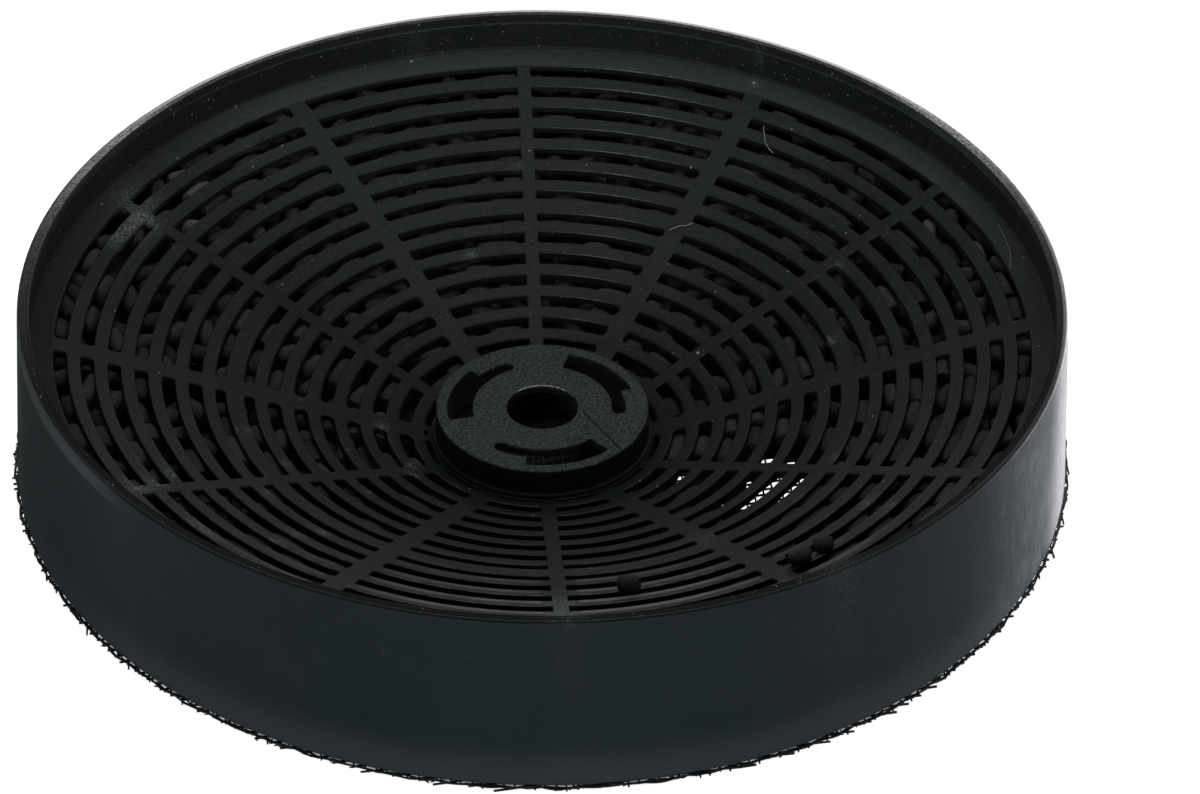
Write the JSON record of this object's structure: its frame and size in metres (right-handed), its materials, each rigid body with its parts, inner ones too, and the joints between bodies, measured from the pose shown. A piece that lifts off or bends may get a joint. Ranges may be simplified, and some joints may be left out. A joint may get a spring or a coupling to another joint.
{
  "type": "cooker hood carbon filter",
  "caption": "Round recirculation filter for a cooker hood: a dished slotted housing with a bayonet hub, a diamond net below and loose carbon pellets held between them.",
  "frame": {"origin": "on the hub's axis, at the level that the filter stands on with its net down", "axes": "+Z along the hub's axis, from the net towards the rim; +X and +Y along spokes of the grille"},
  "size_m": [0.2156, 0.2156, 0.0388],
  "materials": {
    "housing_plastic": "fine satin moulding, near black with a cool cast",
    "net_plastic": "black netting strands, slightly shiny",
    "carbon": "dull dark grey extruded carbon with a rough skin"
  },
  "bodies": {
    "root": {"housing": "housing_plastic", "net": "net_plastic", "carbon_bed": "carbon", "carbon_pellet_01": "carbon", "carbon_pellet_02": "carbon", "carbon_pellet_03": "carbon", "carbon_pellet_04": "carbon", "carbon_pellet_05": "carbon", "carbon_pellet_06": "carbon", "carbon_pellet_07": "carbon", "carbon_pellet_08": "carbon", "carbon_pellet_09": "carbon", "carbon_pellet_10": "carbon", "carbon_pellet_11": "carbon", "carbon_pellet_12": "carbon", "carbon_pellet_13": "carbon", "carbon_pellet_14": "carbon", "carbon_pellet_15": "carbon", "carbon_pellet_16": "carbon", "carbon_pellet_17": "carbon", "carbon_pellet_18": "carbon", "carbon_pellet_19": "carbon", "carbon_pellet_20": "carbon", "carbon_pellet_21": "carbon", "carbon_pellet_22": "carbon", "carbon_pellet_23": "carbon", "carbon_pellet_24": "carbon", "carbon_pellet_25": "carbon", "carbon_pellet_26": "carbon", "carbon_pellet_27": "carbon", "carbon_pellet_28": "carbon", "carbon_pellet_29": "carbon", "carbon_pellet_30": "carbon", "carbon_pellet_31": "carbon", "carbon_pellet_32": "carbon", "carbon_pellet_33": "carbon", "carbon_pellet_34": "carbon", "carbon_pellet_35": "carbon", "carbon_pellet_36": "carbon", "carbon_pellet_37": "carbon", "carbon_pellet_38": "carbon", "carbon_pellet_39": "carbon", "carbon_pellet_40": "carbon", "carbon_pellet_41": "carbon", "carbon_pellet_42": "carbon", "loose_pellet_1": "carbon", "loose_pellet_2": "carbon", "loose_pellet_3": "carbon"}
  },
  "joints": []
}
